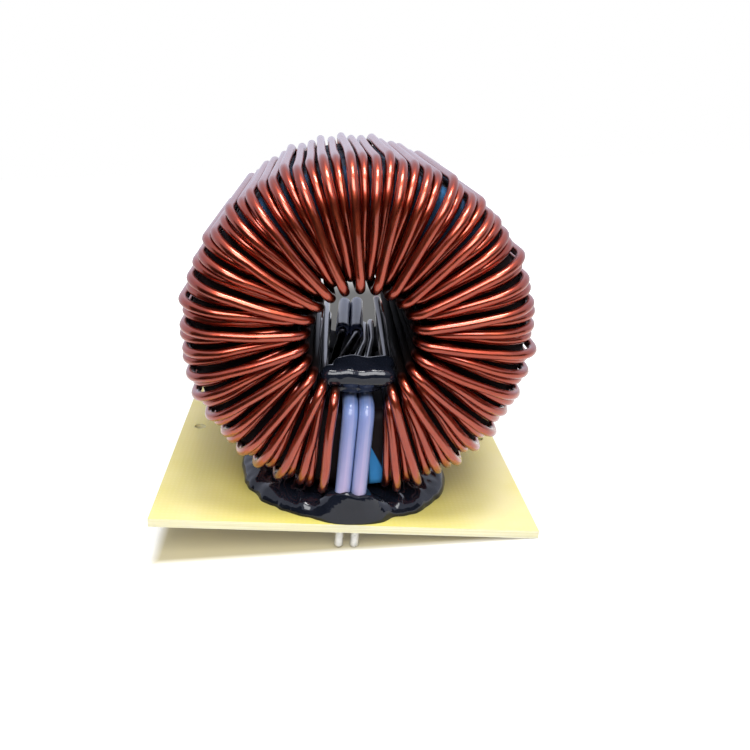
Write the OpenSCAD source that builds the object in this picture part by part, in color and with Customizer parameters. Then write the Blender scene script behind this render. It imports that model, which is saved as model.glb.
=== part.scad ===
// Toroidal inductor: three stacked ring cores with a two-strand winding, standing on a base plate.
// The winding's axis lies along Y, the front faces -Y, and the origin is the centre of the plate's underside.

/* [Base plate] */
// Width of the plate
plate_w = 70; // [66:0.5:76]
// Distance from the middle of a lead to the plate's front or back edge
plate_margin = 1.7; // [1.6:0.1:6]
// Thickness of the plate
plate_t = 1.6; // [1.2:0.1:2.4]
// Diameter of the two side holes
side_hole_d = 2.4; // [1.5:0.1:3]
// Distance of a side hole from the plate's side edge
side_hole_inset = 3.7; // [3:0.1:5]
// Distance of the side holes behind the plate's middle line
side_hole_y = 7.6; // [0:0.1:12]

/* [Ring cores] */
// Outer diameter of a coated ring
core_od = 57.2; // [54:0.1:64]
// Bore diameter of a coated ring
core_bore_d = 27.8; // [27:0.1:30]
// Thickness of a coated ring
core_t = 16.1; // [14:0.05:20]
// Radius on the edges of a ring
core_edge_r = 2; // [1.8:0.1:2.2]

/* [Winding] */
// Diameter of the enamelled wire
wire_d = 1.65; // [1.4:0.05:1.65]
// Gap between neighbouring turns of a strand in the bore
turn_gap = 0.04; // [0.03:0.005:0.1]
// Angle left open for the leads on the outside
lead_open = 18.8; // [18:0.1:30]
// Angle of the first turn on the outside, from straight down
outer_start = 13; // [12:0.1:14]
// Angle by which a turn leans over as it runs back through the bore
bore_lean = 12; // [10:0.1:12.5]
// Distance from the rings' outside to the middle of the wire
outer_gap = 2; // [2:0.05:2.4]
// Greatest distance by which single turns bulge further out
bulge = 0.9; // [0:0.05:1]
// Sideways wander of single turns on the outside
wander = 0.08; // [0:0.01:0.08]
// Radius of the wire's bends at the outside
outer_bend_r = 7; // [6:0.1:7]
// Radius of the wire's bends at the bore
bore_bend_r = 2; // [1.9:0.05:2.2]
// Distance from the core's face to the meeting point of the wire's face and outside runs
face_rise = 3.2; // [3.2:0.05:3.4]

/* [Leads] */
// Gap between the two sleeves of a pair at the plate
sleeve_gap = 0.06; // [0.05:0.01:0.3]
// Distance from the stack's face to the middle of a lead at the plate
lead_out = 4.15; // [3:0.05:5]
// Length of a tinned end below the plate
tip_len = 3.8; // [3:0.1:5]
// Diameter of a tinned end
tip_d = 1.7; // [1.66:0.01:1.7]
// Outer diameter of a sleeve
sleeve_d = 2.8; // [2.4:0.05:2.8]
// Bore diameter of a sleeve
sleeve_bore = 1.9; // [1.86:0.01:1.96]
// Depth to which a front sleeve runs into the bore
front_depth = 12; // [8:0.5:13]
// Depth to which a back sleeve runs into the bore
back_depth = 22; // [18:0.5:23]
// Height of the lead's knee above the plate
knee_h = 3; // [2.5:0.1:4]

/* [Adhesive] */
// Radius of the round ends of the bead on the plate
bead_r = 21; // [19:0.5:22]
// Height of the bead on the plate
bead_h = 4.4; // [3:0.1:5]
// Distance by which the bead narrows towards its top
bead_taper = 4; // [3:0.1:6]
// Half the width of the bar of adhesive across the bore
bar_half_w = 6.6; // [5:0.1:7]
// Distance of the bar's top below the axis
bar_drop = 2.2; // [2:0.1:4]
// Length of the bar along the bore
bar_len = 6.5; // [4:0.1:8]

/* [Fits] */
// Clearance between the wire and the cores
wire_gap = 0.1; // [0.05:0.01:0.15]
// Clearance between the adhesive and what it holds
bead_gap = 0.1; // [0.05:0.01:0.2]
// Clearance round a wire in a hole of the plate
hole_gap = 0.1; // [0.05:0.01:0.3]
// Height of the winding's lowest turns above the plate
seat_gap = 0.4; // [0.2:0.05:0.8]

/* [Hidden] */

wire_color = [0.66, 0.28, 0.18];
core_color = [0.10, 0.38, 0.66];
plate_color = [0.88, 0.83, 0.50];
sleeve_color = [0.62, 0.66, 0.84];
tip_color = [0.76, 0.76, 0.77];
adhesive_color = [0.05, 0.05, 0.06];

round_fn = 96;
wire_sides = 6;
sleeve_sides = 10;
bore_bend_rings = 3;
outer_bend_rings = 5;
lead_bend_rings = 5;
bead_fn = 48;
wire_r = wire_d / 2;
// Overrun of a cutting shape past a face, and the thickness of an outline drawn for a hull
cut_over = 1;
film = 0.01;
sleeve_r = sleeve_d / 2;

// The rings' stack and the winding's axis
stack_half = core_t * 1.5;
core_r = core_od / 2;
bore_r = core_bore_d / 2;
outer_r = core_r + outer_gap;
axis_h = plate_t + seat_gap + outer_r + bulge + wire_r;

// Three layers of wire at the bore: how far each lies in from the first, up from it on the faces, and the
// growth of its bends, in wire diameters
layer_in = [0, 0.95, 2.1];
layer_up = [0, 1.02, 1.95];
layer_grow = [0, 0.31, 0.49];
layer_r = [for (n = layer_in) bore_r - wire_r - wire_gap - n * wire_d];
layer_rise = [for (n = layer_up) wire_r + wire_gap + n * wire_d];
layer_bend = [for (n = layer_grow) bore_bend_r + n * wire_d];
// Extra rise of strand b over strand a on the faces, and the share of the bulge that lifts each strand there
outer_lift = [0, 1.1];
rise_share = [0.3, 1];

// Leads: a pair at the front where the winding starts, and a pair at the back where it ends
lead_side = [-1, 1];
lead_gap = sleeve_d + sleeve_gap;
lead_y = stack_half + lead_out;
plate_d = 2 * (lead_y + plate_margin);
mouth_gap = 0.15;
mouth_y = stack_half + sleeve_r + mouth_gap;
// Radius at which the starting leads lie on the rings, and the ending leads over the winding
lead_r = bore_r - sleeve_r - mouth_gap;
over_r = layer_r[2] - wire_r - sleeve_r;
knee_z = plate_t + knee_h;
knee_bend_r = 4;
mouth_bend_r = 2.8;
waist_bend_r = 6;
waist_gap = 1;
waist_y = stack_half - front_depth - waist_gap;
// Where the ending leads bend inside the bore, how far beside the axis their middle leaves it at the back,
// and the angle by which they lean on their way there
over_gap = 2;
over_y = stack_half - back_depth - over_gap;
over_mid = 1;
over_lean = 12;
over_angle = [for (side = lead_side) asin((over_mid + side * lead_gap / 2) / over_r)];

// Angles taken up in the bore by half a sleeve, by a wire, and from a wire to a sleeve beside it
lead_angle = asin(lead_gap / 2 / lead_r);
wire_step = 2 * asin((wire_d + turn_gap) / 2 / layer_r[0]);
side_step = wire_step / 2 + lead_angle;
// Angles of the starting leads at the back of the bore, and of the room left beside them for the ending leads
lead_turn = 19.5;
lead_spread = 1.03;
first_spread = 1.32;
start_back = [lead_turn, lead_turn + lead_spread * wire_step];
// How far a starting lead has still to lean at its waist, and how far an ending lead has leant over there
start_lean = bore_lean * (stack_half - waist_y) / (2 * stack_half);
end_share = 0.7;
end_lean = end_share * bore_lean;
end_back = lead_turn - lead_spread * side_step - 2 * lead_angle;
// Angles of the first turn and between turns at the bore, and as many turns as the bore has room for
bore_start = start_back[1] + first_spread * wire_step - bore_lean;
bore_step = [0, wire_step / 2];
bore_end = 360 + end_back - side_step - bore_lean;
turns = 2 + floor((bore_end - bore_start - bore_step[1]) / wire_step);
outer_pitch = (360 - lead_open) / turns;
outer_step = [0, outer_pitch / 2];

// A value from -1 to 1 that looks irregular from one turn to the next
function wobble(i, seed) = sin(i * 137.508 + seed * 61.7);
function unit(v) = v / norm(v);
// A point at radius r and angle a from straight down, towards +X, round the winding's axis
function polar(r, a, y) = [r * sin(a), y, axis_h - r * cos(a)];
function around(p) = let(a = atan2(p.x, axis_h - p.z)) [cos(a), 0, sin(a)];

// A corner of a path: its place, its bend radius and its number of rings
function stop(p, r = 0, n = 1) = [p, r, n];
function bend(a, b, c, r, n) =
  let(u = unit(b - a), v = unit(c - b), angle = acos(u * v))
  let(o = b + unit(v - u) * r / cos(angle / 2), e = (b - u * r * tan(angle / 2) - o) / r)
  [for (i = [0 : n - 1])
    let(t = angle * i / (n - 1))
    [o + r * (cos(t) * e + sin(t) * u), cos(t) * u - sin(t) * e]];
// Places and directions of the rings along a path of stops
function rings(path) =
  let(last = len(path) - 1)
  [for (i = [0 : last])
    each i == 0 ? [[path[0][0], unit(path[1][0] - path[0][0])]]
      : i == last ? [[path[last][0], unit(path[last][0] - path[last - 1][0])]]
      : bend(path[i - 1][0], path[i][0], path[i + 1][0], path[i][1], path[i][2])];
function ring_points(p, d, r, sides) =
  let(side = around(p), x = unit(side - (side * d) * d), y = cross(d, x))
  [for (k = [0 : sides - 1]) let(t = (k + 0.5) * 360 / sides) p + r * (cos(t) * x + sin(t) * y)];

// Angles of a turn k of strand s
function bore_angle(s, k) = bore_start + bore_step[s] + wire_step * (k - 1);
function outer_angle(s, k) = outer_start + outer_step[s] + outer_pitch * (k - 1);
function turn_seed(s, k) = 2 * k + s;
// How far out a turn bulges, from 0 to 1: most turns lie close and a few stand off
function swell(s, k, seed) = pow((1 + wobble(turn_seed(s, k), seed)) / 2, 3);
function turn_r(s, k) = outer_r + bulge * swell(s, k, 1);
function turn_rise(s, k, seed) =
  stack_half + face_rise + outer_lift[s] + bulge * rise_share[s] * swell(s, k, seed);
function turn_shift(s, k, seed) = wander / outer_r * wobble(turn_seed(s, k), seed) * 180 / PI;
// The outside run of a turn, from the back to the front
function outside_run(s, k) = [
  stop(polar(turn_r(s, k), outer_angle(s, k) + turn_shift(s, k, 2), turn_rise(s, k, 3)),
    outer_bend_r, outer_bend_rings),
  stop(polar(turn_r(s, k), outer_angle(s, k) + turn_shift(s, k, 4), -turn_rise(s, k, 5)),
    outer_bend_r, outer_bend_rings)
];
// The layer of a turn at the bore: strand a lies on the rings, strand b by turns in the two layers over it
function layer(s, k) = s == 0 ? 0 : 2 - k % 2;
// A turn's bend over the rings' edge at the bore, at the front (-1) or the back (1)
function bore_bend(n, a, end) =
  stop(polar(layer_r[n], a, end * (stack_half + layer_rise[n])), layer_bend[n], bore_bend_rings);
// The two ends of a turn's run through the bore
function bore_front(s, k) = bore_bend(layer(s, k), bore_angle(s, k), -1);
function bore_back(s, k) = bore_bend(layer(s, k), bore_angle(s, k) + bore_lean, 1);

// A lead from the plate's underside to the mouth of the bore, at the front (-1) or the back (1)
function lead_x(s) = lead_side[s] * lead_gap / 2;
function lead_foot(s, end, z) = stop([lead_x(s), end * lead_y, z]);
function lead_knee(s, end) = stop([lead_x(s), end * lead_y, knee_z], knee_bend_r, lead_bend_rings);
// A place on a lead's straight run into the bore, at a distance y in front of or behind the stack's middle
function front_run(s, y) = polar(lead_r, lead_side[s] * lead_angle, -y);
function back_run(s, y) =
  let(a = polar(over_r, over_angle[s], mouth_y), b = polar(over_r, over_angle[s] - over_lean, over_y))
  a + (b - a) * (mouth_y - y) / (mouth_y - over_y);
function lead_run(s, end, y) = end < 0 ? front_run(s, y) : back_run(s, y);
function lead_mouth(s, end) = stop(lead_run(s, end, mouth_y), mouth_bend_r, lead_bend_rings);
function waist(p) = stop(p, waist_bend_r, 2);

function strand(s) = [
  lead_foot(s, -1, 0),
  lead_knee(s, -1),
  lead_mouth(s, -1),
  waist(lead_run(s, -1, waist_y)),
  waist(polar(layer_r[0], start_back[s] - start_lean, waist_y)),
  bore_bend(0, start_back[s], 1),
  for (k = [1 : turns - 1]) each concat(outside_run(s, k), [bore_front(s, k), bore_back(s, k)]),
  each outside_run(s, turns),
  bore_front(s, turns),
  waist(polar(layer_r[layer(s, turns)], bore_angle(s, turns) + end_lean, -waist_y)),
  waist(lead_run(s, 1, over_y)),
  lead_mouth(s, 1),
  lead_knee(s, 1),
  lead_foot(s, 1, 0)
];
function sleeve_path(s, end) = [
  lead_foot(s, end, plate_t),
  lead_knee(s, end),
  lead_mouth(s, end),
  stop(lead_run(s, end, stack_half - (end < 0 ? front_depth : back_depth)))
];

// A wall of triangles between two rows of ring points, row after row
function wall(rows, sides, first, flip) = [
  for (i = [0 : rows - 2], k = [0 : sides - 1])
    let(a = first + i * sides + k, b = first + i * sides + (k + 1) % sides)
    each flip ? [[a, b, a + sides], [b, b + sides, a + sides]]
      : [[a, a + sides, b], [b, a + sides, b + sides]]
];
module rod(path, r, sides) {
  row = rings(path);
  n = len(row);
  points = [for (q = row) each ring_points(q[0], q[1], r, sides)];
  start = [for (k = [0 : sides - 1]) k];
  end = [for (k = [sides - 1 : -1 : 0]) (n - 1) * sides + k];
  polyhedron(points, concat(wall(n, sides, 0, false), [start, end]));
}
module pipe(path, r, inner_r, sides) {
  row = rings(path);
  n = len(row);
  outer = [for (q = row) each ring_points(q[0], q[1], r, sides)];
  inner = [for (q = row) each ring_points(q[0], q[1], inner_r, sides)];
  shift = n * sides;
  last = (n - 1) * sides;
  start = [for (k = [0 : sides - 1]) let(m = (k + 1) % sides)
    each [[k, m, shift + k], [m, shift + m, shift + k]]];
  end = [for (k = [0 : sides - 1]) let(m = (k + 1) % sides)
    each [[last + k, shift + last + k, last + m], [last + m, shift + last + k, shift + last + m]]];
  polyhedron(
    concat(outer, inner),
    concat(wall(n, sides, 0, false), wall(n, sides, shift, true), start, end));
}

// Lays a shape drawn with its axis along Z along the winding's axis
module on_axis(y = 0) {
  translate([0, y, axis_h]) rotate([-90, 0, 0]) children();
}
// A ring core's section, as seen beside the axis
module ring_section(r_in, r_out, half_t, edge_r) {
  translate([r_in + edge_r, -half_t]) square([r_out - r_in - 2 * edge_r, 2 * half_t]);
  translate([r_in, edge_r - half_t]) square([r_out - r_in, 2 * (half_t - edge_r)]);
  for (x = [r_in + edge_r, r_out - edge_r], y = [edge_r - half_t, half_t - edge_r])
    translate([x, y]) circle(r = edge_r, $fn = round_fn);
}
module ring_core(place) {
  color(core_color) on_axis(place * core_t)
    rotate_extrude($fn = round_fn) ring_section(bore_r, core_r, core_t / 2, core_edge_r);
}

module base_plate() {
  color(plate_color) difference() {
    translate([-plate_w / 2, -plate_d / 2, 0]) cube([plate_w, plate_d, plate_t]);
    for (s = [0, 1], end = [-1, 1])
      translate([lead_x(s), end * lead_y, -cut_over])
        cylinder(h = plate_t + 2 * cut_over, r = wire_r + hole_gap, $fn = round_fn);
    for (side = [-1, 1])
      translate([side * (plate_w / 2 - side_hole_inset), side_hole_y, -cut_over])
        cylinder(h = plate_t + 2 * cut_over, d = side_hole_d, $fn = round_fn);
  }
}
module core_front() { ring_core(-1); }
module core_middle() { ring_core(0); }
module core_back() { ring_core(1); }
module winding(s) {
  color(wire_color) rod(strand(s), wire_r, wire_sides);
}
module sleeve(s, end) {
  color(sleeve_color) pipe(sleeve_path(s, end), sleeve_r, sleeve_bore / 2, sleeve_sides);
}
module tip(s, end) {
  color(tip_color) translate([lead_x(s), end * lead_y, -tip_len])
    cylinder(h = tip_len, d = tip_d, $fn = round_fn);
}

// The space that the winding and its bulges take up, seen beside the axis
envelope_r = outer_r + bulge + wire_r + bead_gap;
envelope_half = stack_half + face_rise + outer_lift[1] + bulge + wire_r + bead_gap;
module bead_outline(r, z) {
  for (end = [-1, 1])
    translate([0, end * (plate_d / 2 - bead_r - bead_gap), z]) cylinder(h = film, r = r, $fn = bead_fn);
}
module adhesive_base() {
  color(adhesive_color) difference() {
    hull() {
      bead_outline(bead_r, plate_t);
      bead_outline(bead_r - bead_taper, plate_t + bead_h);
    }
    on_axis() rotate_extrude($fn = round_fn) ring_section(0, envelope_r, envelope_half, outer_bend_r);
    for (s = [0, 1], end = [-1, 1])
      translate([lead_x(s), end * lead_y, plate_t - cut_over])
        cylinder(h = bead_h + 2 * cut_over, r = sleeve_r + bead_gap, $fn = round_fn);
  }
}
// Share of the bar's height in its round ends, how far its waist dips, how far it stands out of the mouth,
// and half the width of its foot on the sleeves
bar_round = 0.4;
bar_dip = 0.3;
bar_out = 1;
foot_half_w = 2.5;
// The bar of adhesive that holds the front sleeves down at the mouth of the bore
module adhesive_front() {
  fill_r = layer_r[2] - wire_r - bead_gap;
  end_r = (fill_r - bar_drop) * bar_round;
  color(adhesive_color) on_axis(-mouth_y - bar_out)
    linear_extrude(height = bar_len) {
      intersection() {
        circle(r = fill_r, $fn = round_fn);
        union() {
          for (side = [-1, 1])
            translate([side * (bar_half_w - end_r), bar_drop + end_r]) circle(r = end_r, $fn = round_fn);
          translate([end_r - bar_half_w, bar_drop + end_r * bar_dip])
            square([2 * (bar_half_w - end_r), fill_r]);
        }
      }
      intersection() {
        circle(r = lead_r - sleeve_r - bead_gap, $fn = round_fn);
        translate([-foot_half_w, bar_drop + end_r]) square([2 * foot_half_w, lead_r]);
      }
    }
}

base_plate();
core_front();
core_middle();
core_back();
winding(0);  // winding_a
winding(1);  // winding_b
sleeve(0, -1);  // sleeve_front_a
sleeve(1, -1);  // sleeve_front_b
sleeve(0, 1);  // sleeve_back_a
sleeve(1, 1);  // sleeve_back_b
tip(0, -1);  // tip_front_a
tip(1, -1);  // tip_front_b
tip(0, 1);  // tip_back_a
tip(1, 1);  // tip_back_b
adhesive_base();
adhesive_front();
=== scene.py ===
"""Looks of a toroidal inductor: a two-strand winding on stacked ring cores, on a laminate plate."""
import math

import bmesh
import bpy
from mathutils import Matrix, Vector, noise


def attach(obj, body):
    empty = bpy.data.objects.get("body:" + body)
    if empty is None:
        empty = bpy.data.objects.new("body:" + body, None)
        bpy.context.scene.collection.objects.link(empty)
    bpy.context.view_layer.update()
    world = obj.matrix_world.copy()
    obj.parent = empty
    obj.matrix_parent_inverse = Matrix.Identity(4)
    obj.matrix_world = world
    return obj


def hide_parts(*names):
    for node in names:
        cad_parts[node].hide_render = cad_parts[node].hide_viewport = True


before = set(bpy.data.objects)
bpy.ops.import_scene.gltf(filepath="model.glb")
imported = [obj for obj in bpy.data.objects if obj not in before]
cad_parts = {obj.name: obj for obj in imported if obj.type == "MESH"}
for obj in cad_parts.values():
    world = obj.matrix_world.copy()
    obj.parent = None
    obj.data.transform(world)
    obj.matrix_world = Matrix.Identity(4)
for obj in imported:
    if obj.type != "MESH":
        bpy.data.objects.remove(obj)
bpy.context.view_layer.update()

MM = 0.001

# Sizes of the part in millimetres and degrees, as in its solids
PLATE_W, PLATE_D, PLATE_T = 70.0, 60.0, 1.6
CORE_OD, CORE_BORE, CORE_T = 57.2, 27.8, 16.1
WIRE_D, TURN_GAP, LEAD_OPEN = 1.65, 0.04, 18.8
OUTER_START, BORE_LEAN = 13.0, 12.0
OUTER_GAP, BULGE, WANDER = 2.0, 0.9, 0.08
OUTER_BEND, BORE_BEND, FACE_RISE = 7.0, 2.0, 3.2
SLEEVE_D, SLEEVE_GAP = 2.8, 0.06
FRONT_DEPTH, BACK_DEPTH = 12.0, 22.0
LEAD_OUT, KNEE_H, TIP_LEN, TIP_D = 4.15, 3.0, 3.8, 1.7
WIRE_GAP, BEAD_GAP, SEAT_GAP = 0.1, 0.1, 0.4
LEAD_TURN, LEAD_SPREAD, FIRST_SPREAD, END_SHARE = 19.5, 1.03, 1.32, 0.7
MOUTH_GAP, WAIST_GAP, OVER_GAP, OVER_MID, OVER_LEAN = 0.15, 1.0, 2.0, 1.0, 12.0
KNEE_BEND, MOUTH_BEND, WAIST_BEND = 4.0, 2.8, 6.0
BEAD_R, BAR_LEN = 21.0, 6.5

# Where the looks part from the solids, in millimetres
# The adhesive holds the front leads a little up and to the right at the mouth
LEAD_SHIFT = Vector((0.5, 0.0, 0.45))
# The foot and the knee of a lead stand a little inwards
FOOT_IN, KNEE_IN = 0.35, 0.55
# The outside runs lie closer to the rings and bulge less
OUTER_PULL, BULGE_SHARE = 0.95, 0.8
# Bow of each strand's face runs, and the sideways bow of face runs and outside runs
FACE_BOW, FACE_SIDE, OUTER_SIDE, OUTER_WAVE = (0.20, 0.45), 0.16, 0.22, 0.1
# Small gaps that keep surfaces apart
BOX_GAP, SLIP, FLOOR_GAP, GLUE_IN, GLUE_LIFT, GLUE_BASE = 0.02, 0.02, 0.02, 0.06, 0.03, 0.005

# Rings on each kind of bend, and sides of each kind of round piece
LEAD_RINGS, WAIST_RINGS, BORE_RINGS, OUTER_RINGS = 9, 4, 7, 10
WIRE_SIDES, SLEEVE_SIDES, TIP_SIDES = 16, 28, 24
# A straight run longer than this gets points between its ends, and how many
LONG_RUN, WIRE_BETWEEN, SLEEVE_BETWEEN = 3.0, 4, 8
# A run longer than this along the axis lies in the bore, or outside when it is this far out
AXIAL_RUN, OUTSIDE_R = 12.0, 20.0
# Rounding of a sleeve's ends, and width and steps of the plate's worn edges
SLEEVE_SOFT, WORN_EDGE, WORN_STEPS = 0.14, 0.12, 2
# Lengths of texture on each metre of a swept piece
UV_SCALE = 10

# The camera's place in millimetres, its yaw, pitch and roll in degrees, and its lens
CAMERA_PLACE, CAMERA_TURN = (-9.9, -142.5, 74.6), (6.17, 21.26, 5.21)
SENSOR, LENS, NEAREST = 36, 35.47, 0.005
# Lamps: name, place and aim in millimetres, size in metres, power in watts
LAMPS = (
    ("front_lamp", (-20, -260, 295), (0, 0, 40), (0.24, 0.18), 1.12),
    ("top_lamp", (20, -70, 375), (0, 0, 40), (0.15, 0.10), 0.98))
# The floor's reach, the screen's half angle and steps round it, and its rows of radius and height
FLOOR_FAR, SCREEN_HALF, SCREEN_STEPS = 600.0, 85, 24
SCREEN_ROWS = ((95.0, -6.0), (330.0, -6.0), (330.0, 40.0), (330.0, 110.0), (330.0, 190.0))

# Depth below the plate and share of the full radius down a pin
TIP_PROFILE = (
    (0.0, 1.0), (0.25, 1.0), (0.6, 0.985), (1.2, 0.965), (1.9, 0.96), (2.6, 0.975),
    (3.1, 0.98), (3.4, 0.96), (3.6, 0.90), (3.72, 0.80), (3.78, 0.66), (TIP_LEN, 0.52))
# Lumps on a pin: share of the radius, and fineness
TIP_LUMP, TIP_GRAIN = 0.03, 0.9

# Share of the bead's reach that is filled
BEAD_FILL = 0.985
# Waves of the bead's outline: share of the reach, number round the bead and phase
BEAD_WAVES = ((0.008, 5, 0.6), (0.008, 9, 2.1), (0.006, 14, 4.0), (0.004, 23, 1.0))
# The lobe in front, in degrees to each side and a share of the reach, and the dent beside it
LOBE_HALF, LOBE_SHARE = 13, 0.015
DENT_AT, DENT_HALF, DENT_SHARE = 17, 3.0, 0.022
# Drips: middle and half width in degrees from the front, and weight
DRIPS = ((-32, 24, 1.0), (34, 14, 0.5))
DRIP_SHARE, DRIP_GRAIN = 0.016, 16
# Fineness of the long and the short waves on the adhesive
WAVE_GRAIN, SMALL_GRAIN = 0.16, 0.45
# Height of the pool, and what the long and the short waves add
POOL_H, POOL_WAVE, POOL_SMALL = 2.7, 0.6, 0.4
# The mound at the feet of the sleeves: height, short waves, place and half widths
MOUND_H, MOUND_SMALL, MOUND_X, MOUND_IN, MOUND_HALF = 5.8, 0.7, 0.4, 0.6, (5.2, 4.4)
# Width of the round rim of the pool, with its waves and tilt along X, and of the mound
RIM_W, RIM_WAVE, RIM_TILT, MOUND_RIM = 4.2, 1.2, 0.04, 0.5
# Grid of the bead's top, and how much its rings crowd towards the outline
BEAD_AROUND, BEAD_STEPS, BEAD_CROWD = 400, 48, 1.8
# Strings of adhesive drawn over the pool: x at the start, lean, and y from start to end
STRINGS = (
    (-8.6, 0.25, -28.0, -21.5),
    (-12.5, -0.5, -24.5, -21.0),
    (9.0, 0.4, -26.5, -22.5))
STRING_CURVE, STRING_HALF, STRING_H = 0.06, 0.45, 0.55
# The bar's left end: x, shift along Y and height from the axis, half sizes and turn
BAR_END, BAR_END_HALF, BAR_END_TURN = (-5.0, -0.9, -6.5), (1.6, 2.1, 2.0), 6
# Rolls of the bar: shift along Y, and spots of x, height from the axis and radius
BAR_ROLLS = (
    # The roll in front
    (-1.1, ((-3.6, -6.4, 1.75), (-1.6, -6.1, 1.95), (0.7, -6.35, 1.8), (2.6, -6.05, 2.0),
            (4.6, -6.0, 1.95))),
    # The wavy shelf behind it
    (0.2, ((-2.8, -5.9, 1.9), (0.6, -5.8, 1.9), (4.2, -5.6, 1.9))),
    (1.5, ((-3.0, -5.5, 1.6), (-1.0, -5.0, 1.7), (1.6, -5.4, 1.7), (4.8, -4.8, 1.7))),
    # The foot on the sleeves
    (-0.2, ((-3.6, -8.7, 1.3), (-2.2, -8.1, 1.5), (0.3, -8.0, 1.7), (3.2, -7.7, 1.5))))
# Steps between two spots of a roll
ROLL_STEPS = 8
# Fineness and softness of the bar
BAR_VOXEL, BAR_FLOW, BAR_FLOW_STEPS = 0.28, 0.5, 22


def sind(a):
    return math.sin(math.radians(a))


def cosd(a):
    return math.cos(math.radians(a))


def asind(v):
    return math.degrees(math.asin(v))


WIRE_R = WIRE_D / 2
SLEEVE_R = SLEEVE_D / 2
STACK_HALF = CORE_T * 1.5
BORE_R = CORE_BORE / 2
OUTER_R = CORE_OD / 2 + OUTER_GAP
AXIS_H = PLATE_T + SEAT_GAP + OUTER_R + BULGE + WIRE_R
OUTER_LIFT, RISE_SHARE = (0.0, 1.1), (0.3, 1.0)
# Three layers of wire at the bore
LAYER_R = tuple(BORE_R - WIRE_R - WIRE_GAP - n * WIRE_D for n in (0, 0.95, 2.1))
LAYER_RISE = tuple(WIRE_R + WIRE_GAP + n * WIRE_D for n in (0, 1.02, 1.95))
LAYER_BEND = tuple(BORE_BEND + n * WIRE_D for n in (0, 0.31, 0.49))
LEAD_GAP = SLEEVE_D + SLEEVE_GAP
LEAD_Y = STACK_HALF + LEAD_OUT
LEAD_R = BORE_R - SLEEVE_R - MOUTH_GAP
OVER_R = LAYER_R[2] - WIRE_R - SLEEVE_R
MOUTH_Y = STACK_HALF + SLEEVE_R + MOUTH_GAP
KNEE_Z = PLATE_T + KNEE_H
WAIST_Y = STACK_HALF - FRONT_DEPTH - WAIST_GAP
OVER_Y = STACK_HALF - BACK_DEPTH - OVER_GAP
LEAD_ANGLE = asind(LEAD_GAP / 2 / LEAD_R)
WIRE_STEP = 2 * asind((WIRE_D + TURN_GAP) / 2 / LAYER_R[0])
SIDE_STEP = WIRE_STEP / 2 + LEAD_ANGLE
START_BACK = (LEAD_TURN, LEAD_TURN + LEAD_SPREAD * WIRE_STEP)
START_LEAN = BORE_LEAN * (STACK_HALF - WAIST_Y) / (2 * STACK_HALF)
END_BACK = LEAD_TURN - LEAD_SPREAD * SIDE_STEP - 2 * LEAD_ANGLE
BORE_START = START_BACK[1] + FIRST_SPREAD * WIRE_STEP - BORE_LEAN
BORE_STEP = (0.0, WIRE_STEP / 2)
BORE_END = 360 + END_BACK - SIDE_STEP - BORE_LEAN
TURNS = 2 + math.floor((BORE_END - BORE_START - BORE_STEP[1]) / WIRE_STEP)
OUTER_PITCH = (360 - LEAD_OPEN) / TURNS
OUTER_STEP = (0.0, OUTER_PITCH / 2)
LEAD_SIDE = (-1, 1)


# Camera and stage

def look(place, yaw, pitch, roll):
    """A camera matrix from a place in millimetres and angles in degrees."""
    forward = Vector((sind(yaw) * cosd(pitch), cosd(yaw) * cosd(pitch), -sind(pitch)))
    right = Vector((cosd(yaw), -sind(yaw), 0))
    up = right.cross(forward)
    x = cosd(roll) * right + sind(roll) * up
    y = -sind(roll) * right + cosd(roll) * up
    turn = Matrix((x, y, -forward)).transposed().to_4x4()
    return Matrix.Translation(Vector(place) * MM) @ turn


def add_object(name, data):
    made = bpy.data.objects.new(name, data)
    bpy.context.scene.collection.objects.link(made)
    return made


def make_camera():
    data = bpy.data.cameras.new("camera")
    data.sensor_width = SENSOR
    data.sensor_fit = "HORIZONTAL"
    data.lens = LENS
    data.clip_start = NEAREST
    camera = add_object("camera", data)
    camera.matrix_world = look(CAMERA_PLACE, *CAMERA_TURN)
    bpy.context.scene.camera = camera


def area_light(name, place, aim, size, power):
    data = bpy.data.lights.new(name, "AREA")
    data.shape = "RECTANGLE"
    data.size, data.size_y = size
    data.energy = power
    lamp = add_object(name, data)
    lamp.location = Vector(place) * MM
    lamp.rotation_euler = (Vector(aim) - Vector(place)).to_track_quat("-Z", "Y").to_euler()


# Node trees

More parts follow.
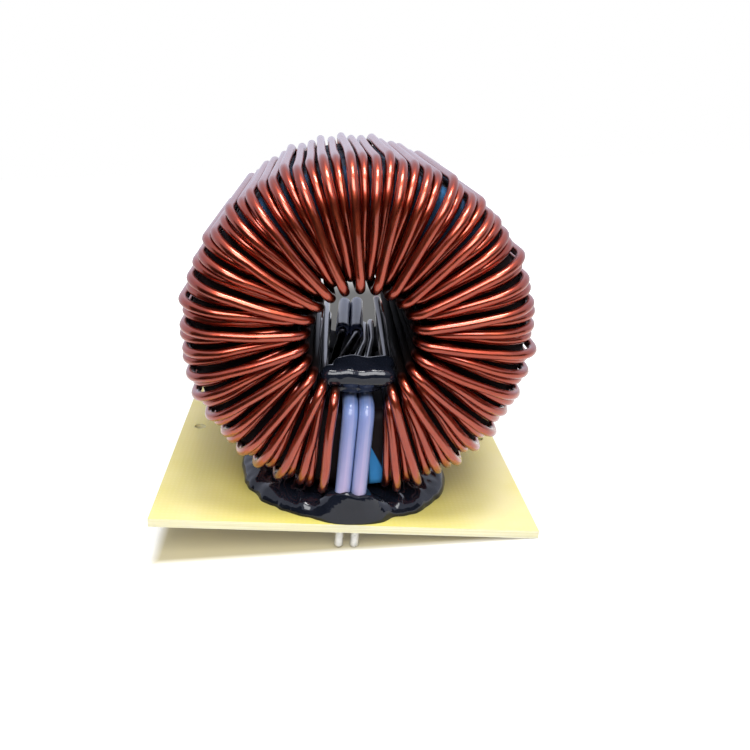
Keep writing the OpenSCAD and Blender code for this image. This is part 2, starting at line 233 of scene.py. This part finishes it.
class Nodes:
    """A short way to write the node tree of a material or of the world."""

    def __init__(self, owner, output="ShaderNodeOutputMaterial"):
        self.owner = owner
        owner.use_nodes = True
        self.tree = owner.node_tree
        self.tree.nodes.clear()
        self.out = self.add(output)

    def add(self, kind, values=None, **settings):
        node = self.tree.nodes.new(kind)
        for key, value in settings.items():
            setattr(node, key, value)
        for key, value in (values or {}).items():
            if isinstance(value, bpy.types.NodeSocket):
                self.tree.links.new(value, node.inputs[key])
            else:
                node.inputs[key].default_value = value
        return node

    def noise(self, vector, scale, detail=3.0, roughness=0.55):
        node = self.add("ShaderNodeTexNoise", {
            "Vector": vector, "Scale": scale, "Detail": detail, "Roughness": roughness})
        return node.outputs["Fac"]

    def ramp(self, fac, stops):
        node = self.add("ShaderNodeValToRGB", {"Fac": fac})
        elements = node.color_ramp.elements
        while len(elements) < len(stops):
            elements.new(0.5)
        for element, (position, color) in zip(elements, stops):
            element.position = position
            element.color = (*color, 1)
        return node.outputs["Color"]

    def span(self, value, low, high, to_low, to_high, shape="LINEAR"):
        node = self.add("ShaderNodeMapRange", {
            "Value": value, "From Min": low, "From Max": high,
            "To Min": to_low, "To Max": to_high}, interpolation_type=shape)
        return node.outputs["Result"]

    def math(self, operation, a, b=0.0):
        node = self.add("ShaderNodeMath", {0: a, 1: b}, operation=operation)
        return node.outputs[0]

    def vector(self, operation, a, b=(0, 0, 0)):
        node = self.add("ShaderNodeVectorMath", {0: a, 1: b}, operation=operation)
        return node.outputs["Value" if operation == "LENGTH" else "Vector"]

    def parts(self, vector):
        return self.add("ShaderNodeSeparateXYZ", {0: vector}).outputs

    def mix(self, fac, a, b, blend="MIX"):
        node = self.add("ShaderNodeMix", data_type="RGBA", blend_type=blend)
        for key, value in (("Factor_Float", fac), ("A_Color", a), ("B_Color", b)):
            socket = next(s for s in node.inputs if s.identifier == key)
            if isinstance(value, bpy.types.NodeSocket):
                self.tree.links.new(value, socket)
            else:
                socket.default_value = value if key == "Factor_Float" else (*value, 1)
        return next(s for s in node.outputs if s.identifier == "Result_Color")

    def bump(self, height, distance, strength):
        node = self.add("ShaderNodeBump", {
            "Height": height, "Distance": distance, "Strength": strength})
        return node.outputs["Normal"]

    def scaled(self, vector, scale):
        return self.add("ShaderNodeMapping", {"Vector": vector, "Scale": scale}).outputs["Vector"]

    def choose(self, fac, a, b):
        return self.add("ShaderNodeMixShader", {0: fac, 1: a.outputs[0], 2: b.outputs[0]})

    def surface(self, shader):
        self.tree.links.new(shader.outputs[0], self.out.inputs["Surface"])
        return self.owner

    def principled(self, values):
        return self.surface(self.add("ShaderNodeBsdfPrincipled", values))


def enamel_material():
    n = Nodes(bpy.data.materials.new("enamelled_wire"))
    coord = n.add("ShaderNodeTexCoord").outputs
    streak = n.noise(n.scaled(coord["UV"], (5.0, 14.0, 1.0)), 3.0, 4.0, 0.6)
    patch = n.noise(coord["Object"], 120.0, 2.0)
    tone = n.math("ADD", n.math("MULTIPLY", streak, 0.5), n.math("MULTIPLY", patch, 0.5))
    color = n.ramp(tone, (
        (0.30, (0.29, 0.037, 0.018)),
        (0.50, (0.38, 0.058, 0.026)),
        (0.70, (0.47, 0.086, 0.036))))
    # Painted shade: the runs inside the bore are painted near-black for the shade there, and are
    # dull there but for the lowest wires
    beside = n.vector("SUBTRACT", coord["Object"], (0, 0, AXIS_H * MM))
    part = n.parts(beside)
    deep = n.span(n.math("ABSOLUTE", part["Y"]), 0.0245, 0.0275, 1.0, 0.0)
    reach = n.vector("LENGTH", n.vector("MULTIPLY", beside, (1, 0, 1)))
    inside = n.math("MULTIPLY", deep, n.span(reach, 0.0135, 0.0150, 1.0, 0.0))
    low = n.span(part["Z"], -0.0068, -0.0048, 1.0, 0.0)
    dull = n.math("MULTIPLY", inside, n.span(part["Z"], -0.0072, -0.0052, 0.0, 0.8))
    outside = n.math("MULTIPLY", n.math("SUBTRACT", 1.0, inside), 0.75)
    fine = n.noise(n.scaled(coord["UV"], (3.0, 26.0, 1.0)), 4.0, 3.0)
    return n.principled({
        "Base Color": n.mix(inside, color, (0.016, 0.011, 0.010)),
        "Metallic": 1.0,
        "Roughness": n.math("MAXIMUM", n.span(streak, 0.3, 0.7, 0.26, 0.36), dull),
        "Coat Weight": n.math("MAXIMUM", low, outside),
        "Coat Roughness": 0.05,
        "Coat IOR": 1.55,
        "Normal": n.bump(fine, 0.00005, 0.25)})


def core_material():
    n = Nodes(bpy.data.materials.new("core_coating"))
    place = n.add("ShaderNodeTexCoord").outputs["Object"]
    cloud = n.noise(place, 160.0, 3.0)
    peel = n.noise(place, 1400.0, 2.0)
    # Painted shade: ambient occlusion tells where the wire lies close over the coating and shades
    # it
    unshaded = n.add("ShaderNodeAmbientOcclusion", {"Distance": 0.004}, samples=8).outputs["AO"]
    blue = n.ramp(cloud, ((0.3, (0.030, 0.190, 0.460)), (0.7, (0.045, 0.250, 0.560))))
    # Blue shows only in a wedge beside the leads at the front, and a little at the top where the
    # coating is unshaded; everywhere else the coating is painted near-black for the shade between
    # the wires
    part = n.parts(place)
    drop = n.math("SUBTRACT", 0.0150, part["Z"])
    off = n.math("SUBTRACT", part["X"], 0.0030)
    slant = n.math("DIVIDE", off, n.math("MAXIMUM", drop, 0.0001))
    left, right = n.span(slant, 0.06, 0.12, 0.0, 1.0), n.span(slant, 0.52, 0.62, 1.0, 0.0)
    wedge = n.math("MULTIPLY", left, right)
    wedge = n.math("MULTIPLY", wedge, n.span(drop, 0.0, 0.0008, 0.0, 1.0))
    top = n.span(part["Z"], 0.050, 0.058, 0.0, 0.7)
    top = n.math("MULTIPLY", top, n.span(unshaded, 0.34, 0.62, 0.0, 1.0))
    return n.principled({
        "Base Color": n.mix(n.math("MAXIMUM", wedge, top), (0.007, 0.0035, 0.0045), blue),
        "Roughness": n.span(cloud, 0.3, 0.7, 0.50, 0.62),
        "Specular IOR Level": 0.12,
        "Normal": n.bump(peel, 0.00008, 0.4)})


def plate_material():
    n = Nodes(bpy.data.materials.new("glass_epoxy"))
    coord = n.add("ShaderNodeTexCoord").outputs
    place = coord["Object"]
    warp, weft = (n.add(
        "ShaderNodeTexWave", {"Vector": place, "Scale": 340.0, "Distortion": 0.6, "Detail": 1.0},
        wave_type="BANDS", bands_direction=way).outputs["Fac"] for way in "XY")
    weave = n.math("MULTIPLY", warp, weft)
    cloud = n.noise(place, 45.0, 3.0)
    face = n.ramp(cloud, (
        (0.30, (0.71, 0.63, 0.210)),
        (0.52, (0.78, 0.69, 0.290)),
        (0.75, (0.83, 0.74, 0.400))))
    # Deeper yellow round the adhesive
    away = n.vector("LENGTH", n.vector("MULTIPLY", place, (1.0, 0.8, 0.0)))
    face = n.mix(n.span(away, 0.020, 0.034, 0.85, 0.0), face, (0.68, 0.60, 0.090))
    face = n.mix(n.span(weave, 0.0, 1.0, 0.0, 0.10), face, (0.86, 0.80, 0.46))
    # Layers show on the cut edge
    layers = n.noise(n.scaled(place, (30.0, 30.0, 4200.0)), 1.0, 2.0)
    edge = n.ramp(layers, ((0.35, (0.66, 0.61, 0.36)), (0.65, (0.80, 0.77, 0.56))))
    upright = n.parts(coord["Normal"])["Z"]
    side = n.span(n.math("ABSOLUTE", upright), 0.35, 0.7, 1.0, 0.0)
    return n.principled({
        "Base Color": n.mix(side, face, edge),
        "Roughness": n.span(cloud, 0.3, 0.7, 0.30, 0.42),
        "IOR": 1.5,
        "Subsurface Weight": 0.25,
        "Subsurface Radius": (0.004, 0.0032, 0.0012),
        "Subsurface Scale": 1.0,
        "Normal": n.bump(weave, 0.00003, 0.35)})


def sleeve_material():
    n = Nodes(bpy.data.materials.new("sleeve"))
    coord = n.add("ShaderNodeTexCoord").outputs
    draw = n.noise(n.scaled(coord["UV"], (9.0, 1.2, 1.0)), 2.0, 3.0)
    cloud = n.noise(coord["Object"], 90.0, 2.0)
    tone = n.math("ADD", n.math("MULTIPLY", draw, 0.75), n.math("MULTIPLY", cloud, 0.25))
    milk = n.ramp(tone, (
        (0.34, (0.12, 0.20, 0.42)),
        (0.50, (0.18, 0.24, 0.46)),
        (0.66, (0.28, 0.30, 0.49))))
    # The tube is painted warmer pink on its faces towards the front and back, most of all low down
    facing = n.math("ABSOLUTE", n.parts(coord["Normal"])["Y"])
    height = n.parts(coord["Object"])["Z"]
    warm = n.math("MULTIPLY", n.span(facing, 0.55, 1.0, 0.0, 0.6),
                  n.span(height, 0.008, 0.019, 1.0, 0.25))
    return n.principled({
        "Base Color": n.mix(warm, milk, (0.50, 0.36, 0.50)),
        "Roughness": n.span(tone, 0.3, 0.7, 0.14, 0.22),
        "IOR": 1.45,
        "Subsurface Weight": 0.4,
        "Subsurface Radius": (0.0014, 0.0014, 0.0020),
        "Subsurface Scale": 1.0,
        "Normal": n.bump(draw, 0.00004, 0.2)})


def tin_material():
    n = Nodes(bpy.data.materials.new("tinned_wire"))
    place = n.add("ShaderNodeTexCoord").outputs["Object"]
    cloud = n.noise(place, 900.0, 4.0)
    return n.principled({
        "Base Color": n.ramp(cloud, ((0.3, (0.54, 0.54, 0.52)), (0.7, (0.76, 0.75, 0.72)))),
        "Metallic": 0.45,
        "Roughness": n.span(cloud, 0.3, 0.7, 0.26, 0.42),
        "Normal": n.bump(cloud, 0.00006, 0.4)})


def adhesive_material():
    n = Nodes(bpy.data.materials.new("adhesive"))
    place = n.add("ShaderNodeTexCoord").outputs["Object"]
    cloud = n.noise(place, 180.0, 3.0)
    ripple = n.noise(place, 420.0, 2.0)
    speck = n.noise(place, 3200.0, 2.0)
    color = n.ramp(cloud, (
        (0.35, (0.0050, 0.0066, 0.0120)),
        (0.7, (0.0100, 0.0120, 0.0200))))
    dust = n.ramp(speck, ((0.70, (0.0, 0.0, 0.0)), (0.76, (0.05, 0.05, 0.055))))
    return n.principled({
        "Base Color": n.mix(1.0, color, dust, "ADD"),
        "Roughness": n.span(cloud, 0.35, 0.65, 0.04, 0.13),
        "IOR": 1.47,
        "Normal": n.bump(ripple, 0.0004, 0.28)})


def floor_material():
    """White paint that keeps the object's shadow, with a painted shadow under the plate, and fades
    into the white background.
    """
    n = Nodes(bpy.data.materials.new("floor"))
    path = n.add("ShaderNodeLightPath").outputs
    seen = n.math("MAXIMUM", path["Is Camera Ray"], path["Is Transmission Ray"])
    seen = n.math("MAXIMUM", seen, n.math("MULTIPLY", path["Is Glossy Ray"], 0.15))
    place = n.add("ShaderNodeTexCoord").outputs["Object"]
    away = n.vector("LENGTH", place)
    # A painted shadow of the plate: the floor under it is painted olive, as if yellowed by light
    # through the laminate, and its glow is held back there
    half = (PLATE_W / 2 * MM, PLATE_D / 2 * MM, 0)
    size = n.parts(n.vector("SUBTRACT", n.vector("ABSOLUTE", place), half))
    under = n.math("MAXIMUM", size["X"], size["Y"])
    clear = n.span(under, -0.0016, 0.0004, 0.0, 1.0)
    lit = n.span(under, -0.0016, 0.0004, 0.22, 1.0)
    tone = n.mix(clear, (0.54, 0.48, 0.30), (0.68, 0.68, 0.68))
    # A soft shade painted on the floor behind the part, which shows through the bore
    rear = n.add("ShaderNodeMapping", {
        "Vector": place, "Location": (-0.16, -1.12, 0), "Scale": (22.0, 10.6, 0.0)})
    rear = n.vector("LENGTH", rear.outputs["Vector"])
    shade = n.span(rear, 0.40, 1.0, 0.12, 1.0, "SMOOTHSTEP")
    paint = n.add("ShaderNodeBsdfDiffuse", {"Color": n.mix(shade, (0.0, 0.0, 0.0), tone)})
    level = n.math("MULTIPLY", lit, shade)
    level = n.math("MULTIPLY", level, n.span(away, 0.06, 0.20, 0.40, 1.0))
    glow = n.add("ShaderNodeEmission", {
        "Color": (1, 1, 1, 1), "Strength": n.math("MULTIPLY", seen, level)})
    return n.surface(n.add("ShaderNodeAddShader", {0: paint.outputs[0], 1: glow.outputs[0]}))


def screen_material():
    """Dark in reflections and clear to everything else."""
    n = Nodes(bpy.data.materials.new("screen"))
    path = n.add("ShaderNodeLightPath").outputs
    dark = n.add("ShaderNodeBsdfDiffuse", {"Color": (0.02, 0.02, 0.022, 1)})
    clear = n.add("ShaderNodeBsdfTransparent")
    return n.surface(n.choose(path["Is Glossy Ray"], clear, dark))


def make_world():
    """White to look at, with a softer light on the part and a cooler sky in reflections."""
    world = bpy.data.worlds.new("studio")
    bpy.context.scene.world = world
    n = Nodes(world, "ShaderNodeOutputWorld")
    path = n.add("ShaderNodeLightPath").outputs
    seen = n.math("MAXIMUM", path["Is Camera Ray"], path["Is Transmission Ray"])
    soft, cool, white = (
        n.add("ShaderNodeBackground", {"Color": color, "Strength": strength})
        for color, strength in (
            ((1, 1, 1, 1), 0.46), ((0.78, 0.82, 1.0, 1), 0.97), ((1, 1, 1, 1), 1.0)))
    n.surface(n.choose(seen, n.choose(path["Is Glossy Ray"], soft, cool), white))


def sheet(name, corners, faces, material):
    mesh = bpy.data.meshes.new(name)
    mesh.from_pydata(corners, [], faces)
    mesh.materials.append(material)
    return add_object(name, mesh)


def make_floor():
    # The part leans: it rests on its pins and on the plate's right lower edge
    pin_x, edge_x = LEAD_GAP / 2 + TIP_D / 2, PLATE_W / 2
    slope = TIP_LEN / (edge_x - pin_x)
    far = FLOOR_FAR
    corners = []
    for x, y in ((-far, -far), (far, -far), (far, far), (-far, far)):
        corners.append(Vector((x, y, -TIP_LEN + slope * (x - pin_x) - FLOOR_GAP)) * MM)
    floor = sheet("floor", corners, [(0, 1, 2, 3)], floor_material())


def make_screen():
    """The dark room in front of the white table, which only reflections show."""
    corners, faces = [], []
    for i in range(SCREEN_STEPS + 1):
        a = -SCREEN_HALF + 2 * SCREEN_HALF * i / SCREEN_STEPS
        corners += [Vector((r * sind(a), -r * cosd(a), z)) * MM for r, z in SCREEN_ROWS]
    step = len(SCREEN_ROWS)
    for i in range(SCREEN_STEPS):
        for j in range(step - 1):
            k = i * step + j
            faces.append((k, k + step, k + step + 1, k + 1))
    screen = sheet("screen", corners, faces, screen_material())


# Paths of the wires

def polar(r, a, y):
    """A point at radius r and angle a from straight down, towards +X, round the winding's axis."""
    return Vector((r * sind(a), y, AXIS_H - r * cosd(a)))


def wobble(i, seed):
    return sind(i * 137.508 + seed * 61.7)


def swell(s, k, seed):
    return ((1 + wobble(2 * k + s, seed)) / 2) ** 3


def bore_angle(s, k):
    return BORE_START + BORE_STEP[s] + WIRE_STEP * (k - 1)


def outer_angle(s, k, seed):
    shift = math.degrees(WANDER / OUTER_R * wobble(2 * k + s, seed))
    return OUTER_START + OUTER_STEP[s] + OUTER_PITCH * (k - 1) + shift


def turn_rise(s, k, seed):
    return STACK_HALF + FACE_RISE + OUTER_LIFT[s] + BULGE * RISE_SHARE[s] * swell(s, k, seed)


def lead_x(s):
    return LEAD_SIDE[s] * LEAD_GAP / 2


def lead_tag(s, end):
    return ("front", "back")[end > 0] + "_" + "ab"[s]


def lead_run(s, end, y):
    """A place on a lead inside the bore: on the rings in front, over the winding at the back."""
    if end < 0:
        return polar(LEAD_R, LEAD_SIDE[s] * LEAD_ANGLE, -y) + LEAD_SHIFT
    angle = asind((OVER_MID + lead_x(s)) / OVER_R)
    mouth, inner = polar(OVER_R, angle, MOUTH_Y), polar(OVER_R, angle - OVER_LEAN, OVER_Y)
    return mouth.lerp(inner, (MOUTH_Y - y) / (MOUTH_Y - OVER_Y))


def lead_start(s, end, z):
    """The foot, knee and mouth of a lead: places with their bend radius and number of rings."""
    return [
        (Vector((lead_x(s), end * (LEAD_Y - FOOT_IN), z)), 0, 1),
        (Vector((lead_x(s), end * (LEAD_Y - KNEE_IN), KNEE_Z)), KNEE_BEND, LEAD_RINGS),
        (lead_run(s, end, MOUTH_Y), MOUTH_BEND, LEAD_RINGS)]


def layer(s, k):
    return 0 if s == 0 else 2 - k % 2


def bore_bend(n, a, end):
    return polar(LAYER_R[n], a, end * (STACK_HALF + LAYER_RISE[n])), LAYER_BEND[n], BORE_RINGS


def waist(place):
    return place, WAIST_BEND, WAIST_RINGS


def strand(s):
    """The stops of one whole wire, from its front pin to its back pin."""
    stops = lead_start(s, -1, 0.0)
    stops.append(waist(lead_run(s, -1, WAIST_Y)))
    stops.append(waist(polar(LAYER_R[0], START_BACK[s] - START_LEAN, WAIST_Y)))
    stops.append(bore_bend(0, START_BACK[s], 1))
    for k in range(1, TURNS + 1):
        r = OUTER_R - OUTER_PULL + BULGE_SHARE * BULGE * swell(s, k, 1)
        back = polar(r, outer_angle(s, k, 2), turn_rise(s, k, 3))
        front = polar(r, outer_angle(s, k, 4), -turn_rise(s, k, 5))
        stops += [(back, OUTER_BEND, OUTER_RINGS), (front, OUTER_BEND, OUTER_RINGS)]
        stops.append(bore_bend(layer(s, k), bore_angle(s, k), -1))
        if k < TURNS:
            stops.append(bore_bend(layer(s, k), bore_angle(s, k) + BORE_LEAN, 1))
    angle = bore_angle(s, TURNS) + END_SHARE * BORE_LEAN
    stops.append(waist(polar(LAYER_R[layer(s, TURNS)], angle, -WAIST_Y)))
    stops.append(waist(lead_run(s, 1, OVER_Y)))
    return stops + lead_start(s, 1, 0.0)[::-1]


def rounded(stops, between, bow=None):
    """Points along a path of stops, with round bends and a few points on each straight run."""
    groups = [[stops[0][0]]]
    for (a, _, _), (b, r, n), (c, _, _) in zip(stops, stops[1:], stops[2:]):
        u, v = (b - a).normalized(), (c - b).normalized()
        angle = u.angle(v)
        o = b + (v - u).normalized() * (r / math.cos(angle / 2))
        e = (b - u * (r * math.tan(angle / 2)) - o) / r
        turns = [angle * i / (n - 1) for i in range(n)]
        groups.append([o + r * (math.cos(t) * e + math.sin(t) * u) for t in turns])
    groups.append([stops[-1][0]])
    points = list(groups[0])
    for i, (one, two) in enumerate(zip(groups, groups[1:])):
        a, b = one[-1], two[0]
        if (b - a).length > LONG_RUN:
            for j in range(1, between + 1):
                t = j / (between + 1)
                p = a.lerp(b, t)
                points.append(p + bow(i, p, b - a, t) if bow else p)
        points += two
    return points


def frames(points):
    """A direction and a side at each point, with the side carried along without twist."""
    n = len(points)
    ways = [(points[min(i + 1, n - 1)] - points[max(i - 1, 0)]).normalized() for i in range(n)]
    side = ways[0].orthogonal().normalized()
    sides = []
    for way in ways:
        side = (side - way * side.dot(way)).normalized()
        sides.append(side)
    return ways, sides


def sweep(points, rows, around):
    """A mesh swept along points. A row is a ring's point number, radius and shift along it."""
    ways, sides = frames(points)
    lengths = [0.0]
    for a, b in zip(points, points[1:]):
        lengths.append(lengths[-1] + (b - a).length)
    mesh = bmesh.new()
    uv = mesh.loops.layers.uv.new("UVMap")
    turns = [2 * math.pi * k / around for k in range(around)]
    rings = []
    for i, radius, shift in rows:
        x, y = sides[i], ways[i].cross(sides[i])
        middle = points[i] + ways[i] * shift
        rings.append([
            mesh.verts.new((middle + radius * (math.cos(t) * x + math.sin(t) * y)) * MM)
            for t in turns])
    along = [(lengths[i] + shift) * MM for i, _, shift in rows]
    for one, two, v0, v1 in zip(rings, rings[1:], along, along[1:]):
        for k in range(around):
            m = (k + 1) % around
            face = mesh.faces.new((one[k], one[m], two[m], two[k]))
            face.smooth = True
            spots = ((k, v0), (k + 1, v0), (k + 1, v1), (k, v1))
            for loop, (u, v) in zip(face.loops, spots):
                loop[uv].uv = (u / around, v * UV_SCALE)
    return mesh, rings


def to_piece(name, mesh, material, slot, *nodes):
    data = bpy.data.meshes.new(name)
    bmesh.ops.recalc_face_normals(mesh, faces=mesh.faces)
    mesh.to_mesh(data)
    mesh.free()
    data.materials.append(material)
    piece = add_object(name, data)
    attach(piece, "root")
    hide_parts(*nodes)


def make_winding(s, material):
    def bow(i, p, run, t):
        # Outside runs wander sideways, runs in the bore stay straight, and runs over the faces
        # bow outwards and sideways
        if abs(run.y) > AXIAL_RUN:
            reach = Vector((p.x, 0, p.z - AXIS_H))
            if reach.length < OUTSIDE_R:
                return Vector((0, 0, 0))
            return Vector((-reach.z, 0, reach.x)).normalized() * (
                OUTER_SIDE * wobble(i, 9) * math.sin(math.pi * t)
                + OUTER_WAVE * wobble(i, 10) * math.sin(2 * math.pi * t))
        if abs(p.y) < STACK_HALF:
            return Vector((0, 0, 0))
        out = Vector((0, math.copysign(1, p.y), 0))
        across = run.normalized().cross(out)
        lift = FACE_BOW[s] * (0.6 + 0.4 * wobble(i, 7))
        return (out * lift + across * FACE_SIDE * wobble(i, 8)) * math.sin(math.pi * t)

    points = rounded(strand(s), WIRE_BETWEEN, bow)
    limit = PLATE_D / 2 - WIRE_R - BOX_GAP
    for p in points:
        p.y = max(-limit, min(limit, p.y))
    rows = [(i, WIRE_R, 0) for i in range(len(points))]
    mesh, rings = sweep(points, rows, WIRE_SIDES)
    mesh.faces.new(rings[0][::-1])
    mesh.faces.new(rings[-1])
    to_piece("wire_" + "ab"[s], mesh, material, "enamelled_wire", "winding_" + "ab"[s])


def make_sleeve(s, end, material):
    stops = lead_start(s, end, PLATE_T + SLIP)
    depth = FRONT_DEPTH if end < 0 else BACK_DEPTH
    stops.append((lead_run(s, end, STACK_HALF - depth), 0, 1))
    points = rounded(stops, SLEEVE_BETWEEN)
    last = len(points) - 1
    soft = SLEEVE_SOFT
    outer = [(0, SLEEVE_R - soft, 0), (0, SLEEVE_R, soft)]
    outer += [(i, SLEEVE_R, 0) for i in range(1, last)]
    outer += [(last, SLEEVE_R, -soft), (last, SLEEVE_R - soft, 0)]
    # The tube is drawn closely round the wire
    bore = WIRE_R + SLIP
    inner = [(last, bore + soft, 0), (last, bore, -soft)]
    inner += [(i, bore, 0) for i in range(last - 1, 0, -1)]
    inner += [(0, bore, soft), (0, bore + soft, 0)]
    mesh, rings = sweep(points, outer + inner, SLEEVE_SIDES)
    for k in range(SLEEVE_SIDES):
        m = (k + 1) % SLEEVE_SIDES
        mesh.faces.new((rings[-1][k], rings[-1][m], rings[0][m], rings[0][k]))
    tag = lead_tag(s, end)
    to_piece("tube_" + tag, mesh, material, "sleeve", "sleeve_" + tag)


def make_tip(s, end, material):
    points = [Vector((lead_x(s), end * LEAD_Y, -depth)) for depth, _ in TIP_PROFILE]
    rows = [(i, TIP_D / 2 * width, 0) for i, (_, width) in enumerate(TIP_PROFILE)]
    mesh, rings = sweep(points, rows, TIP_SIDES)
    for vert in mesh.verts:
        lump = noise.noise(vert.co / MM * TIP_GRAIN + Vector((s * 7.0, end * 5.0, 0)))
        centre = Vector((lead_x(s) * MM, end * LEAD_Y * MM, vert.co.z))
        vert.co = centre + (vert.co - centre) * (1 - TIP_LUMP + TIP_LUMP * lump)
    mesh.faces.new(rings[-1])
    mesh.faces.new(rings[0][::-1])
    tag = lead_tag(s, end)
    to_piece("pin_" + tag, mesh, material, "tinned_wire", "tip_" + tag)


# Adhesive

def pill_reach(a):
    """Distance from the plate's centre to the outline of the bead, at angle a from +X."""
    c, s = math.cos(a), math.sin(a)
    half = PLATE_D / 2 - BEAD_R - BEAD_GAP
    # Side of the pill, or its round end
    if abs(c) > 1e-6 and abs(s / c) * BEAD_R <= half:
        reach = BEAD_R / abs(c)
    else:
        m = half * abs(s)
        reach = m + math.sqrt(max(0.0, m * m - half * half + BEAD_R * BEAD_R))
    lumps = 0.0
    for share, number, phase in BEAD_WAVES:
        lumps += share * math.sin(number * a + phase)
    # A full lobe at the front edge, with a sharp dent to its right
    front = math.degrees(a) - 270
    lobe = math.exp(-(front / LOBE_HALF) ** 4)
    lumps = lumps * (1 - lobe) + LOBE_SHARE * lobe
    lumps -= DENT_SHARE * math.exp(-((front - DENT_AT) / DENT_HALF) ** 2)
    # Small drips along the front edge, most of them at the left
    drips = 0.0
    for middle, half_width, weight in DRIPS:
        drips += weight * math.exp(-((front - middle) / half_width) ** 4)
    lumps += DRIP_SHARE * drips * noise.noise(Vector((a * DRIP_GRAIN, 2.3, 0)))
    return reach * (BEAD_FILL + lumps)


def bead_top(x, y, inset):
    """Height of the bead at a place, from its distance to the bead's outline."""
    wave = noise.noise(Vector((x * WAVE_GRAIN, y * WAVE_GRAIN, 3.1)))
    small = noise.noise(Vector((x * SMALL_GRAIN, y * SMALL_GRAIN, 8.7)))
    high = POOL_H + POOL_WAVE * wave + POOL_SMALL * small
    # A mound round the feet of each pair of sleeves, steep at the plate's edge
    feet = 0.0
    for end in (-1, 1):
        off_x, off_y = x - MOUND_X, y - end * (LEAD_Y - MOUND_IN)
        away = math.hypot(off_x / MOUND_HALF[0], off_y / MOUND_HALF[1])
        feet = max(feet, math.exp(-away ** 4))
    high += (MOUND_H + MOUND_SMALL * small - high) * feet
    for x0, lean, y0, y1 in STRINGS:
        if y0 < y < y1:
            off = (x - x0 - lean * (y - y0) + STRING_CURVE * (y - y0) ** 2) / STRING_HALF
            high += STRING_H * math.exp(-off * off) * math.sin(math.pi * (y - y0) / (y1 - y0))
    width = (RIM_W + RIM_WAVE * wave - RIM_TILT * x) * (1 - feet) + MOUND_RIM * feet
    t = min(1.0, inset / width)
    return PLATE_T + GLUE_LIFT + high * math.sqrt(max(0.0, 1 - (1 - t) ** 2))


def make_puddle(material):
    edge_y = PLATE_D / 2 - GLUE_IN
    mesh = bmesh.new()
    rows = []
    for j in range(1, BEAD_STEPS + 1):
        t = 1 - (1 - j / BEAD_STEPS) ** BEAD_CROWD
        ring = []
        for i in range(BEAD_AROUND):
            a = 2 * math.pi * i / BEAD_AROUND
            reach = pill_reach(a)
            x, y = t * reach * math.cos(a), t * reach * math.sin(a)
            y = max(-edge_y, min(edge_y, y))
            ring.append(mesh.verts.new((x * MM, y * MM, bead_top(x, y, reach * (1 - t)) * MM)))
        rows.append(ring)
    middle = mesh.verts.new((0, 0, bead_top(0, 0, 20) * MM))
    base = [mesh.verts.new((v.co.x, v.co.y, (PLATE_T + GLUE_BASE) * MM)) for v in rows[-1]]
    for i in range(BEAD_AROUND):
        m = (i + 1) % BEAD_AROUND
        mesh.faces.new((middle, rows[0][i], rows[0][m])).smooth = True
        for a, b in zip(rows, rows[1:]):
            mesh.faces.new((a[i], b[i], b[m], a[m])).smooth = True
        mesh.faces.new((rows[-1][i], base[i], base[m], rows[-1][m])).smooth = True
    mesh.faces.new(base[::-1])
    to_piece("glue_base", mesh, material, "adhesive", "adhesive_base")


def blob(mesh, place, size, turn=0.0):
    made = bmesh.ops.create_icosphere(mesh, subdivisions=3, radius=1.0)
    spot = Matrix.Translation(Vector(place) * MM) @ Matrix.Rotation(math.radians(turn), 4, "Y")
    spot = spot @ Matrix.Diagonal((size[0] * MM, size[1] * MM, size[2] * MM, 1))
    bmesh.ops.transform(mesh, matrix=spot, verts=made["verts"])


def roll(mesh, y, spots):
    """A row of close blobs along X, between spots of x, height from the axis and radius."""
    for one, two in zip(spots, spots[1:]):
        for i in range(ROLL_STEPS + 1):
            x, z, r = (a + (b - a) * i / ROLL_STEPS for a, b in zip(one, two))
            blob(mesh, (x, y, AXIS_H + z), (r, r, r))


def make_bar(material):
    """The adhesive that holds the front sleeves down at the mouth of the bore."""
    mesh = bmesh.new()
    y = BAR_LEN / 2 - MOUTH_Y - 1
    x, shift, z = BAR_END
    blob(mesh, (x, y + shift, AXIS_H + z), BAR_END_HALF, BAR_END_TURN)
    for shift, spots in BAR_ROLLS:
        roll(mesh, y + shift, spots)
    data = bpy.data.meshes.new("glue_front")
    mesh.to_mesh(data)
    mesh.free()
    raw = add_object("glue_raw", data)
    remesh = raw.modifiers.new("join", "REMESH")
    remesh.mode = "VOXEL"
    remesh.voxel_size = BAR_VOXEL * MM
    smooth = raw.modifiers.new("flow", "SMOOTH")
    smooth.factor = BAR_FLOW
    smooth.iterations = BAR_FLOW_STEPS
    graph = bpy.context.evaluated_depsgraph_get()
    done = bmesh.new()
    done.from_mesh(bpy.data.meshes.new_from_object(raw.evaluated_get(graph)))
    bpy.data.objects.remove(raw)
    for face in done.faces:
        face.smooth = True
    to_piece("glue_front", done, material, "adhesive", "adhesive_front")


def dress_nodes(plate, core):
    """Materials for the solids whose shape stays as it is, and worn edges for the plate."""
    for name, material in (("base_plate", plate), ("core_front", core), ("core_middle", core),
                           ("core_back", core)):
        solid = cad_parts[name]
        solid.data.materials.clear()
        solid.data.materials.append(material)
    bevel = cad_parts["base_plate"].modifiers.new("worn_edges", "BEVEL")
    bevel.width = WORN_EDGE * MM
    bevel.segments = WORN_STEPS
    bevel.limit_method = "ANGLE"


make_camera()
make_world()
make_floor()
make_screen()
for lamp_values in LAMPS:
    area_light(*lamp_values)
enamel, glue = enamel_material(), adhesive_material()
sleeve, tin = sleeve_material(), tin_material()
dress_nodes(plate_material(), core_material())
for strand_number in (0, 1):
    make_winding(strand_number, enamel)
    for side_end in (-1, 1):
        make_sleeve(strand_number, side_end, sleeve)
        make_tip(strand_number, side_end, tin)
make_puddle(glue)
make_bar(glue)

bpy.context.scene.view_settings.view_transform = "Standard"
bpy.context.view_layer.update()
